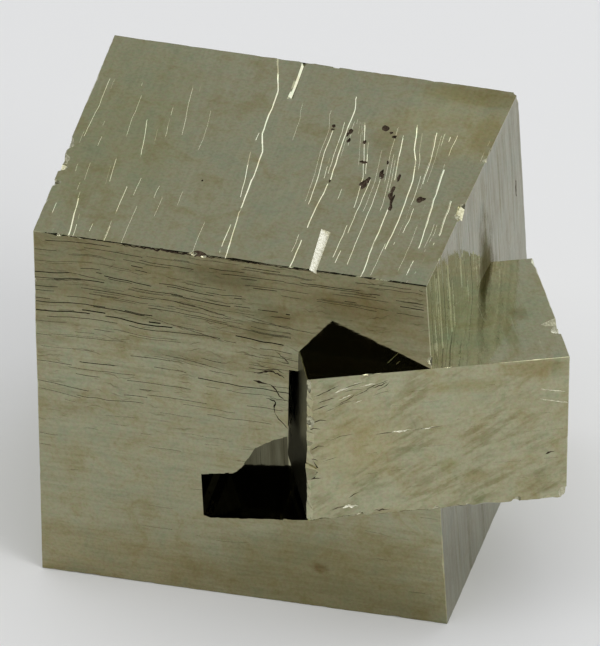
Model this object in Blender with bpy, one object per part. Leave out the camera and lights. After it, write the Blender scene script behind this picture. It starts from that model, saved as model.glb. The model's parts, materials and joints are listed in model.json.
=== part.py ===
"""A pyrite specimen: one large cube-like crystal with a smaller one grown through its front right side.

Metres, +Z up. The specimen rests on the large crystal's bottom face. -Y is the large crystal's broad
front face, and the small crystal juts out of it and out of the right face, towards +X. The origin is
the middle of the whole specimen's footprint, on the surface that it rests on.
"""

import math

import bmesh
import bpy
import numpy as np
from mathutils import Euler, Matrix, Vector

MM = 0.001

# The large crystal, measured between the middles of opposite faces.
LARGE_WIDTH = 41.0 * MM
LARGE_DEPTH = 32.3 * MM
LARGE_HEIGHT = 41.6 * MM
# How far each face leans out of square, in degrees, along the two axes that follow its own.
TOP_LEAN = (1.0, -0.5)
RIGHT_LEAN = (-2.8, 1.5)
LEFT_LEAN = (-2.0, 2.5)
BACK_LEAN = (0.8, 1.0)

# The small crystal: width, depth and height along its own edges, the place of its top front left
# corner from the middle of the large crystal's footprint, and its turn.
SMALL_SIZE = Vector((25.1, 18.2, 15.9)) * MM
SMALL_CORNER = Vector((8.6, -20.9, 32.0)) * MM
SMALL_TURN = Euler([math.radians(angle) for angle in (-5.3, 2.9, 23.7)])

# Two crystals that grew into each other, kept apart by the gap that separate solids need.
SEAM_GAP = 0.3 * MM

# The stepped hollow in the front face, below and beside the small crystal: its outline in x and z,
# anticlockwise from the floor's left end, and its depth.
HOLLOW_DEPTH = 4.2 * MM
HOLLOW_OUTLINE = (
    (-2.9, 9.5),
    (10.3, 11.3),
    (10.3, 20.9),
    (5.1, 20.9),
    (3.9, 20.4),
    (1.8, 19.0),
    (0.9, 17.1),
    (-0.3, 15.6),
    (-3.2, 14.9),
    (-3.5, 9.9),
)

# The narrow crevice that carries on upwards from the hollow, along the small crystal's left face.
CREVICE_WIDTH = 0.8 * MM
CREVICE_DEPTH = 6.0 * MM
CREVICE_FROM_TOP = (3.0 * MM, 12.0 * MM)

CUTTER_MARGIN = 2.0 * MM

PYRITE_COLOUR = (0.42, 0.39, 0.26, 1.0)
PYRITE_ROUGHNESS = 0.3


def clear_scene():
    for thing in list(bpy.data.objects):
        bpy.data.objects.remove(thing, do_unlink=True)


def pyrite(name):
    """Pale brassy metal, one material for each crystal."""
    material = bpy.data.materials.new(name)
    material.use_nodes = True
    shader = material.node_tree.nodes["Principled BSDF"]
    shader.inputs["Base Color"].default_value = PYRITE_COLOUR
    shader.inputs["Roughness"].default_value = PYRITE_ROUGHNESS
    shader.inputs["Metallic"].default_value = 1.0
    material.diffuse_color = PYRITE_COLOUR
    return material


def add_object(name, bm, root, material=None):
    mesh = bpy.data.meshes.new(name)
    bm.to_mesh(mesh)
    bm.free()
    thing = bpy.data.objects.new(name, mesh)
    bpy.context.scene.collection.objects.link(thing)
    thing.parent = root
    if material:
        mesh.materials.append(material)
    return thing


def add_cutter(name, bm, root):
    cutter = add_object(name, bm, root)
    cutter.hide_render = True
    cutter.display_type = "WIRE"
    return cutter


def cut(piece, cutter):
    boolean = piece.modifiers.new(cutter.name, "BOOLEAN")
    boolean.operation = "DIFFERENCE"
    boolean.solver = "EXACT"
    boolean.object = cutter


def leaning_face(axis, side, middle, lean=(0.0, 0.0)):
    """A face as its outward normal and its offset from the origin. The normal starts along one
    axis, and leans by the two angles towards the next axis and the one after it."""
    normal = Vector()
    normal[axis] = side
    normal[(axis + 1) % 3] = math.tan(math.radians(lean[0]))
    normal[(axis + 2) % 3] = math.tan(math.radians(lean[1]))
    normal.normalize()
    return normal, normal.dot(middle)


def large_faces():
    """The faces for each axis, the lower side's first."""
    half_height = LARGE_HEIGHT / 2
    left = leaning_face(0, -1, Vector((-LARGE_WIDTH / 2, 0, half_height)), LEFT_LEAN)
    right = leaning_face(0, 1, Vector((LARGE_WIDTH / 2, 0, half_height)), RIGHT_LEAN)
    front = leaning_face(1, -1, Vector((0, -LARGE_DEPTH / 2, 0)))
    back = leaning_face(1, 1, Vector((0, LARGE_DEPTH / 2, half_height)), BACK_LEAN)
    bottom = leaning_face(2, -1, Vector())
    top = leaning_face(2, 1, Vector((0, 0, LARGE_HEIGHT)), TOP_LEAN)
    return (left, right), (front, back), (bottom, top)


def planed_cube(faces):
    """A cube whose corners are moved to where their three faces meet."""
    bm = bmesh.new()
    bmesh.ops.create_cube(bm, size=1.0)
    for corner in bm.verts:
        meeting = [pair[corner.co[axis] > 0] for axis, pair in enumerate(faces)]
        normals = np.array([normal for normal, _ in meeting])
        offsets = np.array([offset for _, offset in meeting])
        corner.co = Vector(np.linalg.solve(normals, offsets))
    return bm


def box_between(low, high):
    bm = bmesh.new()
    low, high = Vector(low), Vector(high)
    bmesh.ops.create_cube(bm, size=1.0, matrix=Matrix.Translation((0.5, 0.5, 0.5)))
    bmesh.ops.scale(bm, vec=high - low, verts=bm.verts)
    bmesh.ops.translate(bm, vec=low, verts=bm.verts)
    return bm


def place_like_small(thing):
    """Puts an object at the small crystal's top front left corner, turned along its edges."""
    thing.location = SMALL_CORNER
    thing.rotation_euler = SMALL_TURN


def small_crystal(root):
    width, depth, height = SMALL_SIZE
    crystal = add_object(
        "small_crystal",
        box_between((0, 0, -height), (width, depth, 0)),
        root,
        pyrite("small_crystal_pyrite"),
    )
    place_like_small(crystal)
    return crystal


def socket_cutter(root):
    """The small crystal's own shape, grown by the seam's gap on every side."""
    width, depth, height = SMALL_SIZE
    gap = SEAM_GAP
    box = box_between((-gap, -gap, -height - gap), (width + gap, depth + gap, gap))
    cutter = add_cutter("socket_cutter", box, root)
    place_like_small(cutter)
    return cutter


def hollow_cutter(root):
    """The hollow's outline, drawn in front of the front face and extruded back to its floor."""
    bm = bmesh.new()
    front = -LARGE_DEPTH / 2 - CUTTER_MARGIN
    rim = [bm.verts.new((x * MM, front, z * MM)) for x, z in HOLLOW_OUTLINE]
    face = bm.faces.new(rim)
    walls = bmesh.ops.extrude_face_region(bm, geom=[face])
    moved = [item for item in walls["geom"] if isinstance(item, bmesh.types.BMVert)]
    bmesh.ops.translate(bm, vec=(0, HOLLOW_DEPTH + CUTTER_MARGIN, 0), verts=moved)
    bmesh.ops.recalc_face_normals(bm, faces=bm.faces)
    return add_cutter("hollow_cutter", bm, root)


def crevice_cutter(root):
    """A thin slab against the small crystal's left face, which laps into the socket."""
    to_front_face = (-LARGE_DEPTH / 2 - SMALL_CORNER.y) / math.cos(SMALL_TURN.z)
    upper, lower = CREVICE_FROM_TOP
    slab = box_between(
        (-CREVICE_WIDTH, to_front_face - CUTTER_MARGIN, -lower),
        (CREVICE_WIDTH, to_front_face + CREVICE_DEPTH, -upper),
    )
    cutter = add_cutter("crevice_cutter", slab, root)
    place_like_small(cutter)
    return cutter


def large_crystal(root):
    crystal = add_object(
        "large_crystal", planed_cube(large_faces()), root, pyrite("large_crystal_pyrite")
    )
    for make_cutter in (socket_cutter, hollow_cutter, crevice_cutter):
        cut(crystal, make_cutter(root))
    return crystal


def centre_footprint(root, pieces):
    """Moves the specimen so that its footprint's middle is the origin."""
    bpy.context.view_layer.update()
    corners = [piece.matrix_world @ vertex.co for piece in pieces for vertex in piece.data.vertices]
    for axis in (0, 1):
        values = [corner[axis] for corner in corners]
        root.location[axis] = -(min(values) + max(values)) / 2


def main():
    clear_scene()
    root = bpy.data.objects.new("specimen", None)
    bpy.context.scene.collection.objects.link(root)
    pieces = [large_crystal(root), small_crystal(root)]
    centre_footprint(root, pieces)
    bpy.context.view_layer.update()


if __name__ == "__main__":
    main()
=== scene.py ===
"""Looks of a pyrite specimen: two crystals grown through each other, on a pale studio floor.

Each crystal is six numpy surfaces of growth steps, joined along worn edges and then cut by its
hollow, crevice, chips and pits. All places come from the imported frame's own corners.
"""

import json
import math
from itertools import product

import bpy
import numpy as np
from bpy.props import FloatProperty, FloatVectorProperty, PointerProperty
from mathutils import Matrix, Vector

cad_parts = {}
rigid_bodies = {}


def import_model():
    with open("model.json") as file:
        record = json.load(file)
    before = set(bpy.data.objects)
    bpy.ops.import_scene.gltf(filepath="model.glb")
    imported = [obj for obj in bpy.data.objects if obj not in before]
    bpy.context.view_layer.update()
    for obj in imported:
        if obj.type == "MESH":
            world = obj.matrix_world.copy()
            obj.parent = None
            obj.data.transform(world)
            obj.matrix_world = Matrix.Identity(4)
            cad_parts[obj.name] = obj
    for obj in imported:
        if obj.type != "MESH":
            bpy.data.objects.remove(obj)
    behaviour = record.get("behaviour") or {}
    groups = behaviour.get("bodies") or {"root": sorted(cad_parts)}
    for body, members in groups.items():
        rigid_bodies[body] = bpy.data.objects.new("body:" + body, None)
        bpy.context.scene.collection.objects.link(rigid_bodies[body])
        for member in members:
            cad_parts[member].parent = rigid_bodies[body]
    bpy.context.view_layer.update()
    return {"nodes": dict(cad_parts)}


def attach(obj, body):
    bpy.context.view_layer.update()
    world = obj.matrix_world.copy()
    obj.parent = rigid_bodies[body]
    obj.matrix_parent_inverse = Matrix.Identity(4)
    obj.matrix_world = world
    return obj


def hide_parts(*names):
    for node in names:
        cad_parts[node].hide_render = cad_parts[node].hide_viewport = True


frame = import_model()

MM = 0.001
GROWTH_MAP = "growth"
# Faces, by their axis and by its lower (0) or upper (1) side.
LEFT, RIGHT, FRONT, BACK, BOTTOM, TOP = product(range(3), (0, 1))

bl_info = {
    "name": "Pyrite specimen",
    "version": (1, 0, 0),
    "blender": (4, 5, 0),
    "location": "View3D > Sidebar > Pyrite",
    "description": "Two intergrown pyrite crystals with growth steps, chips and tarnish",
    "category": "Object",
}


# ---------------------------------------------------------------- the frame's corners


def block_corners(node):
    """A block's eight corners: the CAD node's furthest points along the eight diagonals. The array
    is indexed by the lower (0) or upper (1) side of the block's x, y and z."""
    places = np.array([vertex.co for vertex in frame["nodes"][node].data.vertices])
    diagonals = np.array(list(product((-1, 1), repeat=3)))
    return places[np.argmax(places @ diagonals.T, axis=0)].reshape(2, 2, 2, 3)


LARGE = block_corners("large_crystal")
SMALL = block_corners("small_crystal")


def length_along(corners, axis):
    """A block's mean length along one of its own axes."""
    ends = np.moveaxis(corners, axis, 0)
    return float(np.linalg.norm(ends[1] - ends[0], axis=-1).mean())


def face_quad(corners, axis, side):
    """A face's four corners. Its growth steps follow each other across it, along the next axis
    after its own, and run along the one after that."""
    return np.moveaxis(corners, (axis, (axis + 1) % 3, (axis + 2) % 3), (0, 1, 2))[side]


def face_size(corners, axis, side):
    quad = face_quad(corners, axis, side)
    width = np.linalg.norm(quad[1] - quad[0], axis=-1).mean()
    return float(width), float(np.linalg.norm(quad[:, 1] - quad[:, 0], axis=-1).mean())


def face_normal(corners, axis, side):
    quad = face_quad(corners, axis, side)
    normal = np.cross(quad[1, 0] - quad[0, 0], quad[0, 1] - quad[0, 0])
    return normal * (1 if side else -1) / np.linalg.norm(normal)


def on_face(corners, axis, side, across, along):
    """Points of a face, from their distances across and along its growth steps: the corners'
    mix by those distances."""
    quad = face_quad(corners, axis, side)
    width, length = face_size(corners, axis, side)
    u = (np.asarray(across) / width)[..., None]
    v = (np.asarray(along) / length)[..., None]
    near = quad[0, 0] * (1 - u) + quad[1, 0] * u
    return near * (1 - v) + (quad[0, 1] * (1 - u) + quad[1, 1] * u) * v


# ---------------------------------------------------------------- settings


class CrystalSettings(bpy.types.PropertyGroup):
    metal: FloatVectorProperty(
        name="Metal colour",
        description="Colour that clean pyrite mirrors",
        subtype="COLOR",
        default=(0.47, 0.455, 0.298),
    )
    roughness: FloatProperty(
        name="Roughness",
        description="Blur of the reflections on a clean growth face",
        subtype="FACTOR",
        default=0.05,
    )
    row_spacing: FloatProperty(
        name="Row spacing",
        description="Distance between grid rows along the growth steps",
        unit="LENGTH",
        default=0.45 * MM,
    )
    wear: FloatProperty(
        name="Edge wear",
        description="Usual width of the worn strip on each side of a crystal edge",
        unit="LENGTH",
        default=0.05 * MM,
    )


class StageSettings(bpy.types.PropertyGroup):
    floor_colour: FloatVectorProperty(
        name="Floor colour",
        description="Colour of the pale paper that the specimen stands on",
        subtype="COLOR",
        default=(0.84, 0.84, 0.84),
    )
    room_strength: FloatProperty(
        name="Room brightness",
        description="Brightness of the pale room that the crystal faces mirror",
        default=0.51,
        min=0.0,
    )
    room_fill: FloatProperty(
        name="Room fill",
        description="Brightness of the room as it lights the paper",
        default=0.34,
        min=0.0,
    )
    overhead_power: FloatProperty(
        name="Overhead light",
        description="Power of the soft light above the floor",
        default=7.7,
        unit="POWER",
    )
    back_power: FloatProperty(
        name="Back light",
        description="Power of the dim light behind the specimen",
        default=0.155,
        unit="POWER",
    )
    side_power: FloatProperty(
        name="Side light",
        description="Power of the soft light in front on the right, which evens out the floor",
        default=3.8,
        unit="POWER",
    )
    window_power: FloatProperty(
        name="Window light",
        description="Power of the soft light behind on the right, which glints on the steps",
        default=1.7,
        unit="POWER",
    )
    view_azimuth: FloatProperty(
        name="View azimuth",
        description="Turn of the camera around the specimen, from straight in front",
        default=math.radians(16.05),
        subtype="ANGLE",
    )
    view_elevation: FloatProperty(
        name="View elevation",
        description="Height of the camera above the floor, as an angle",
        default=math.radians(37.58),
        subtype="ANGLE",
    )
    view_roll: FloatProperty(
        name="View roll",
        description="Tilt of the camera about its own line of sight",
        default=math.radians(-2.64),
        subtype="ANGLE",
    )
    view_distance: FloatProperty(
        name="View distance",
        description="Distance from the camera to the point that it looks at",
        default=0.6,
        unit="LENGTH",
    )


# ---------------------------------------------------------------- random curves


def smooth_curve(rng, places, spacing, size):
    """A smooth random curve: random heights at even knots, joined by half cosine waves."""
    start = float(np.min(places)) - spacing
    count = int((float(np.max(places)) - start) / spacing) + 3
    heights = rng.normal(0.0, size, count)
    steps = (np.asarray(places) - start) / spacing
    knot = np.floor(steps).astype(int)
    ease = (1 - np.cos(np.pi * (steps - knot))) / 2
    return heights[knot] * (1 - ease) + heights[knot + 1] * ease


# The distance between the points that an edge's wear is given at, and the length of its waves.
WEAR_SPACING = 0.22 * MM
WEAR_WAVE = 2.5 * MM


def edge_wear(rng, width, length, nicks, nick_width):
    """How far an edge is worn back, as knots along it from 0 to 1: a smooth random curve around
    the usual width, with a few sharp nicks."""
    places = np.linspace(0, 1, max(8, int(length / WEAR_SPACING)))
    worn = width * (1 + smooth_curve(rng, places, WEAR_WAVE / length, 0.35))
    worn += np.abs(rng.normal(0, width * 0.35, len(places)))
    for centre, size in zip(rng.random(nicks), rng.random(nicks)):
        reach = (0.2 + 0.5 * size) * MM / length
        worn += nick_width * size * np.clip(1 - np.abs(places - centre) / reach, 0, 1)
    return places, np.maximum(worn, 0.2 * width)


# ---------------------------------------------------------------- growth steps on one face


def lanes_between(rng, start, stop, spacing):
    """Places for growth steps, from start to stop, at uneven gaps around the spacing."""
    gaps = spacing * rng.uniform(0.45, 1.6, int(2 + 2 * (stop - start) / spacing))
    places = start + np.cumsum(gaps)
    return places[places < stop]


def window(places, start, stop, fade):
    """One inside start to stop and zero outside, with smooth ends."""
    rise = np.clip((places - start) / fade, 0, 1)
    fall = np.clip((stop - places) / fade, 0, 1)
    ramp = np.minimum(rise, fall)
    return ramp * ramp * (3 - 2 * ramp)


# The grid across a face: its widest gap, its narrowest, and the margin at the face's two sides.
FILL_GAP = 1.3 * MM
LEAST_GAP = 0.012 * MM
SIDE_MARGIN = 0.1 * MM
# How long a step takes to fade at a dash's ends, and the lengths of the waves in its wander, in its
# depth, and in the swell of the whole face along and across the steps.
DASH_FADE = 0.8 * MM
WANDER_WAVE = 1.2 * MM
DEPTH_WAVE = 1.5 * MM
SWELL_WAVES = (6 * MM, 5 * MM)


class Face:
    """One growth face. Distances across the steps and along them are in metres from the face's
    lower corner. Guides are paths that the steps follow: each is a list of (across, along). The
    jitter is how far the steps wander from them, the swell is how far the whole face rises and
    falls, and the quiet part, if any, has no steps."""

    swell = 0.012 * MM
    quiet = None

    def __init__(self, size, guides, row_spacing, jitter=0.04 * MM):
        self.width, self.length = size
        self.guides = [np.array(sorted(guide, key=lambda point: point[1])) for guide in guides]
        self.row_spacing, self.jitter = row_spacing, jitter
        self.lanes, self.dashes = [], []

    def add_step(self, across, riser, recovery, dashes):
        """A step at one place across the face. It drops over the riser and climbs back over the
        recovery, and a negative riser turns it round. Each dash is (start, stop, depth)."""
        lane = len(self.lanes)
        self.lanes.append((across, riser, recovery))
        self.dashes.extend((lane, *dash) for dash in dashes)

    def add_random_steps(self, rng, band, steepness, turned=0.2, reach=1.0, spread=0.4):
        """Fills a band of the face with steps at uneven gaps, each broken into random dashes. A
        band is its start, its stop, the steps' spacing, the dashes' length and the risers' width,
        in millimetres. A steepness of one is a drop as deep as the riser is wide. The turned
        share of the steps drops the other way. The reach is the share of the face's length, from
        its lower end, that the dashes stay in, and the spread is how uneven the risers are."""
        start, stop, spacing, dash_length, riser = np.array(band) * MM
        for place in lanes_between(rng, start, stop, spacing):
            way = -1 if rng.random() < turned else 1
            count = max(1, int(rng.normal(0.45, 0.15) * self.length / dash_length))
            ends = rng.uniform(-0.1, reach, count) * self.length
            sizes = np.minimum(dash_length * rng.uniform(0.4, 1.8, count), reach * self.length - ends)
            wide = riser * rng.lognormal(0, spread)
            deep = wide * steepness * rng.uniform(0.7, 1.15, count)
            dashes = [(end, end + size, drop) for end, size, drop in zip(ends, sizes, deep)]
            recovery = max(spacing * rng.uniform(0.5, 1.4), 4 * wide)
            self.add_step(place, way * wide, recovery, dashes)

    def columns(self):
        """Grid lines across the face: both lips of every riser, its recovery's end, and fill."""
        lanes = np.array(self.lanes)
        place, riser, recovery = lanes.T
        way = np.sign(riser)
        half = np.abs(riser) / 2
        lines = [place - half, place + half, place + way * (half + recovery * 0.5)]
        lines.append(np.linspace(0, self.width, int(self.width / FILL_GAP) + 2))
        lines = np.sort(np.concatenate(lines))
        lines = lines[(lines > SIDE_MARGIN) & (lines < self.width - SIDE_MARGIN)]
        keep = np.concatenate([[True], np.diff(lines) > LEAST_GAP])
        return np.concatenate([[0.0], lines[keep], [self.width]])

    def rows(self):
        return np.linspace(0, self.length, int(self.length / self.row_spacing) + 2)

    def shift(self, rng, columns, rows):
        """How far each grid line bends sideways: interpolated across the face between its guides,
        and still at its two sides."""
        places = [0.0, *(guide[:, 0].mean() for guide in self.guides), self.width]
        order = np.argsort(places)
        bends = [np.zeros_like(rows)]
        for guide in self.guides:
            path = np.interp(rows, guide[:, 1], guide[:, 0]) - guide[:, 0].mean()
            bends.append(path + smooth_curve(rng, rows, WANDER_WAVE, self.jitter))
        bends += [np.zeros_like(rows)]
        places = np.array(places)[order]
        bends = np.array(bends)[order]
        hats = np.array([np.interp(columns, places, unit) for unit in np.eye(len(places))]).T
        return hats @ bends

    def heights(self, rng, columns, rows):
        """Each lane's profile across the face, times how deep the lane is along it: a straight
        drop over the riser and an easing climb over the recovery."""
        place, riser, recovery = np.array(self.lanes).T
        way = np.sign(riser)
        away = (columns[:, None] - place) * way
        half = np.abs(riser) / 2
        drop = np.clip((away + half) / (2 * half), 0, 1)
        climb = np.clip(1 - (away - half) / recovery, 0, 1)
        profile = np.where(away < half, drop, climb)
        depth = np.zeros((len(place), len(rows)))
        for lane, start, stop, deep in self.dashes:
            fade = min(DASH_FADE, (stop - start) / 3)
            uneven = 1 + smooth_curve(rng, rows, DEPTH_WAVE, 0.08)
            dash = deep * window(rows, start, stop, fade) * uneven
            depth[int(lane)] = np.maximum(depth[int(lane)], dash)
        if self.quiet is not None:
            (low, high), (start, stop) = self.quiet
            inside = (place > low) & (place < high)
            depth[inside] *= 1 - window(rows, start, stop, DASH_FADE)
        swell = smooth_curve(rng, rows, SWELL_WAVES[0], self.swell)
        swell = swell + smooth_curve(rng, columns, SWELL_WAVES[1], self.swell)[:, None]
        return -profile @ depth + swell


# ---------------------------------------------------------------- a crystal from six faces


# How far from an edge its wear moves a face's points.
WEAR_REACH = 0.8 * MM


def squeezed(places, worn_low, worn_high, size):
    """Moves the places near both ends of a face inwards, by what its edges are worn."""
    low = worn_low * np.clip(1 - places / WEAR_REACH, 0, 1)
    high = worn_high * np.clip(1 - (size - places) / WEAR_REACH, 0, 1)
    return places + low - high


def face_places(corners, axis, side, face, wear, rng):
    """A face's grid of points. A point is the corners' mix by its place across and along the
    face, moved along the face's normal by the growth steps' height."""
    across_axis, along_axis = (axis + 1) % 3, (axis + 2) % 3
    columns = face.columns()
    rows = face.rows()
    shift = face.shift(rng, columns, rows)
    heights = face.heights(rng, columns, rows)
    across = columns[:, None] + shift
    along = np.broadcast_to(rows, across.shape)
    worn = [np.interp(rows / face.length, *wear[along_axis, side, end]) for end in (0, 1)]
    across = squeezed(across, *worn, face.width)
    worn = [np.interp(across / face.width, *wear[across_axis, end, side]) for end in (0, 1)]
    along = squeezed(along, *worn, face.length)
    places = on_face(corners, axis, side, across, along)
    places = places + face_normal(corners, axis, side) * heights[..., None]
    growth = np.stack([across, along], axis=-1)
    return places, growth, across / face.width, along / face.length


def zipped(first, first_places, second, second_places):
    """Triangles between two rows of points that run side by side. Both rows' points are put in
    one order along the edge, and each adds a triangle on the last point of the other row."""
    order = np.argsort(np.concatenate([first_places[1:], second_places[1:]]), kind="stable")
    is_first = order < len(first) - 1
    done_first = np.cumsum(is_first)
    done_second = np.cumsum(~is_first)
    before_first = done_first - is_first
    before_second = done_second - ~is_first
    tip = np.where(is_first, first[done_first], second[done_second])
    return np.stack([first[before_first], second[before_second], tip], axis=-1)


def mesh_of(name, places, faces, growth=None, looks=None):
    """A mesh from points and a list of face arrays, with its growth map, in millimetres across
    and along the steps, and its faces' material numbers."""
    mesh = bpy.data.meshes.new(name)
    corners = np.concatenate([array.ravel() for array in faces])
    totals = np.concatenate([np.full(len(array), array.shape[1]) for array in faces])
    mesh.vertices.add(len(places))
    mesh.vertices.foreach_set("co", np.ascontiguousarray(places, dtype=np.float32).ravel())
    mesh.loops.add(len(corners))
    mesh.loops.foreach_set("vertex_index", corners.astype(np.int32))
    mesh.polygons.add(len(totals))
    mesh.polygons.foreach_set("loop_start", (np.cumsum(totals) - totals).astype(np.int32))
    mesh.update(calc_edges=True)
    if growth is None:
        growth = places[:, (0, 2)]
    layer = mesh.uv_layers.new(name=GROWTH_MAP)
    layer.data.foreach_set("uv", (growth[corners] / MM).astype(np.float32).ravel())
    if looks is not None:
        mesh.polygons.foreach_set("material_index", looks.astype(np.int32))
    mesh.validate()
    return mesh


# The distance between the parts of the growth map, in millimetres, which is more than any face's.
MAP_SPACING = 100.0


def map_start(face):
    """Where a face's part of the growth map starts, in millimetres, both across and along. No two
    faces share a place on it."""
    axis, side = face
    return MAP_SPACING * (3 * side + axis)


def crystal_mesh(name, corners, faces, wear, rng, looks):
    """Six face grids, a zipped strip along each of the twelve edges, and a triangle at each
    corner. The looks give material numbers to faces other than the first one's."""
    places, growths, quads, numbers, grids, spans = [], [], [], [], {}, {}
    count = 0
    for (axis, side), face in faces.items():
        grid, growth, across, along = face_places(corners, axis, side, face, wear, rng)
        index = count + np.arange(grid.shape[0] * grid.shape[1]).reshape(grid.shape[:2])
        count += index.size
        grids[axis, side] = index
        spans[axis, side] = across, along
        places.append(grid.reshape(-1, 3))
        growths.append(growth.reshape(-1, 2) + map_start((axis, side)) * MM)
        ring = [index[:-1, :-1], index[1:, :-1], index[1:, 1:], index[:-1, 1:]]
        if not side:
            ring.reverse()
        quads.append(np.stack(ring, axis=-1).reshape(-1, 4))
        numbers.append(np.full(len(quads[-1]), looks.get((axis, side), 0)))
    strips = []
    for axis, first_side, second_side in product(range(3), (0, 1), (0, 1)):
        first, second = ((axis + 1) % 3, first_side), ((axis + 2) % 3, second_side)
        first_end, second_end = -second_side, -first_side
        strip = zipped(
            grids[first][first_end],
            spans[first][1][first_end],
            grids[second][:, second_end],
            spans[second][0][:, second_end],
        )
        strips.append(strip if first_side == second_side else strip[:, ::-1])
    tips = []
    for i, j, k in product((0, 1), repeat=3):
        tip = [grids[0, i][-j, -k], grids[1, j][-k, -i], grids[2, k][-i, -j]]
        tips.append(tip if (i + j + k) % 2 else tip[::-1])
    edges = np.concatenate(strips + [np.array(tips)])
    return mesh_of(
        name,
        np.concatenate(places),
        [np.concatenate(quads), edges],
        np.concatenate(growths),
        np.concatenate([*numbers, np.zeros(len(edges))]),
    )


# ---------------------------------------------------------------- cutters


def at(corners, x, y, z):
    """The point of a block at fractions of its three sides: the mix of its eight corners."""
    point = corners
    for share in (x, y, z):
        point = point[0] * (1 - share) + point[1] * share
    return point


def cutter_of(mesh, material, cutters):
    mesh.materials.append(material)
    cutter = bpy.data.objects.new(mesh.name, mesh)
    cutters.objects.link(cutter)
    return cutter


BLOCK_QUADS = np.array(
    [[0, 1, 3, 2], [4, 6, 7, 5], [0, 4, 5, 1], [2, 3, 7, 6], [0, 2, 6, 4], [1, 5, 7, 3]]
)


def cut_block(name, corners, material, cutters):
    """A cutter with eight corners, given in the same order as a crystal's block."""
    places = np.asarray(corners).reshape(8, 3)
    return cutter_of(mesh_of(name, places, [BLOCK_QUADS]), material, cutters)


# How far the planes around a pebble are, how far it reaches at most, and its grid of directions.
PEBBLE_PLANES = (0.55, 1.0)
PEBBLE_REACH = 1.3
PEBBLE_GRID = (22, 11)


def cut_pebble(name, centre, axes, rng, material, cutters, facets):
    """A faceted pebble. In each direction it ends at the nearest of a few random planes around
    it, and its three axes then stretch it. Directions run over a grid of turn and tilt."""
    turns, tilts = PEBBLE_GRID
    turn = np.linspace(0, 2 * np.pi, turns, endpoint=False)
    tilt = np.linspace(0, np.pi, tilts + 2)[1:-1, None]
    ways = np.stack(
        [np.sin(tilt) * np.cos(turn), np.sin(tilt) * np.sin(turn), np.cos(tilt) + 0 * turn], axis=-1
    ).reshape(-1, 3)
    ways = np.concatenate([ways, [(0, 0, 1), (0, 0, -1)]])
    planes = rng.normal(size=(facets, 3))
    planes /= np.linalg.norm(planes, axis=1, keepdims=True)
    offsets = rng.uniform(*PEBBLE_PLANES, facets)
    reach = (offsets / np.maximum(ways @ planes.T, 0.3)).min(axis=1)
    places = centre + (ways * np.minimum(reach, PEBBLE_REACH)[:, None]) @ np.asarray(axes)
    index = np.arange(turns * tilts).reshape(tilts, turns)
    after = np.roll(index, -1, axis=1)
    sides = np.stack([index[:-1], index[1:], after[1:], after[:-1]], axis=-1).reshape(-1, 4)
    top, bottom = turns * tilts, turns * tilts + 1
    crown = np.stack([np.full(turns, top), index[0], after[0]], axis=-1)
    base = np.stack([np.full(turns, bottom), after[-1], index[-1]], axis=-1)
    mesh = mesh_of(name, places, [sides, np.concatenate([crown, base])])
    return cutter_of(mesh, material, cutters)


# The distance between a crack's sections.
CRACK_SPACING = 0.22 * MM


def cut_groove(name, path, normal, width, depth, rng, material, cutters):
    """A crack along a path on a face: a strip of three-cornered sections, with two corners over
    the face and one under it. It wanders, and narrows to both ends like a half sine wave."""
    lengths = np.concatenate([[0], np.cumsum(np.linalg.norm(np.diff(path, axis=0), axis=1))])
    steps = np.linspace(0, lengths[-1], max(4, int(lengths[-1] / CRACK_SPACING)))
    middle = np.stack([np.interp(steps, lengths, line) for line in path.T], axis=-1)
    side = np.cross(normal, np.gradient(middle, axis=0))
    side /= np.linalg.norm(side, axis=1, keepdims=True)
    middle = middle + side * rng.normal(0, 0.2 * width, (len(steps), 1))
    size = np.sin(np.pi * np.linspace(0.06, 0.94, len(steps))) ** 0.6
    size = (size * rng.uniform(0.6, 1.2, len(steps)))[:, None]
    reach = side * size * width * 0.75
    over = middle + normal * depth / 2
    ring = np.stack([over + reach, middle - normal * depth * size, over - reach], axis=1)
    index = np.arange(3 * len(steps)).reshape(-1, 3)
    after = np.roll(index, -1, axis=1)
    sides = np.stack([index[:-1], index[1:], after[1:], after[:-1]], axis=-1).reshape(-1, 4)
    caps = np.array([index[0], index[-1][::-1]])
    return cutter_of(mesh_of(name, ring.reshape(-1, 3), [sides, caps]), material, cutters)


def cut_grooves(name, corners, face, grooves, rng, material, cutters):
    """Cracks on one face. Each is its width and depth, and its path as (across, along), all in
    millimetres."""
    for number, (width, depth, path) in enumerate(grooves):
        points = on_face(corners, *face, *(np.array(path).T * MM))
        cut_groove(
            f"{name}_{number}", points, face_normal(corners, *face), width * MM, depth * MM, rng,
            material, cutters,
        )


# The angle over which a crystal's edges are shaded as sharp ones.
SHARP_ANGLE = math.radians(4)


def cut_and_finish(piece, cutters):
    """Cuts a crystal by all its cutters at once, removes them and shades it by its own edges."""
    boolean = piece.modifiers.new("cuts", "BOOLEAN")
    boolean.operation = "DIFFERENCE"
    boolean.solver = "MANIFOLD"
    boolean.operand_type = "COLLECTION"
    boolean.collection = cutters
    boolean.material_mode = "TRANSFER"
    graph = bpy.context.evaluated_depsgraph_get()
    mesh = bpy.data.meshes.new_from_object(piece.evaluated_get(graph))
    if len(mesh.polygons) in (0, len(piece.data.polygons)):
        raise RuntimeError(f"{piece.name} was not cut")
    piece.modifiers.clear()
    whole, piece.data = piece.data, mesh
    bpy.data.meshes.remove(whole)
    mesh.name = piece.name
    for cutter in list(cutters.objects):
        bpy.data.objects.remove(cutter, do_unlink=True)
    bpy.data.collections.remove(cutters)
    mesh.shade_smooth()
    mesh.set_sharp_from_angle(angle=SHARP_ANGLE)


# ---------------------------------------------------------------- shader groups


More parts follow.
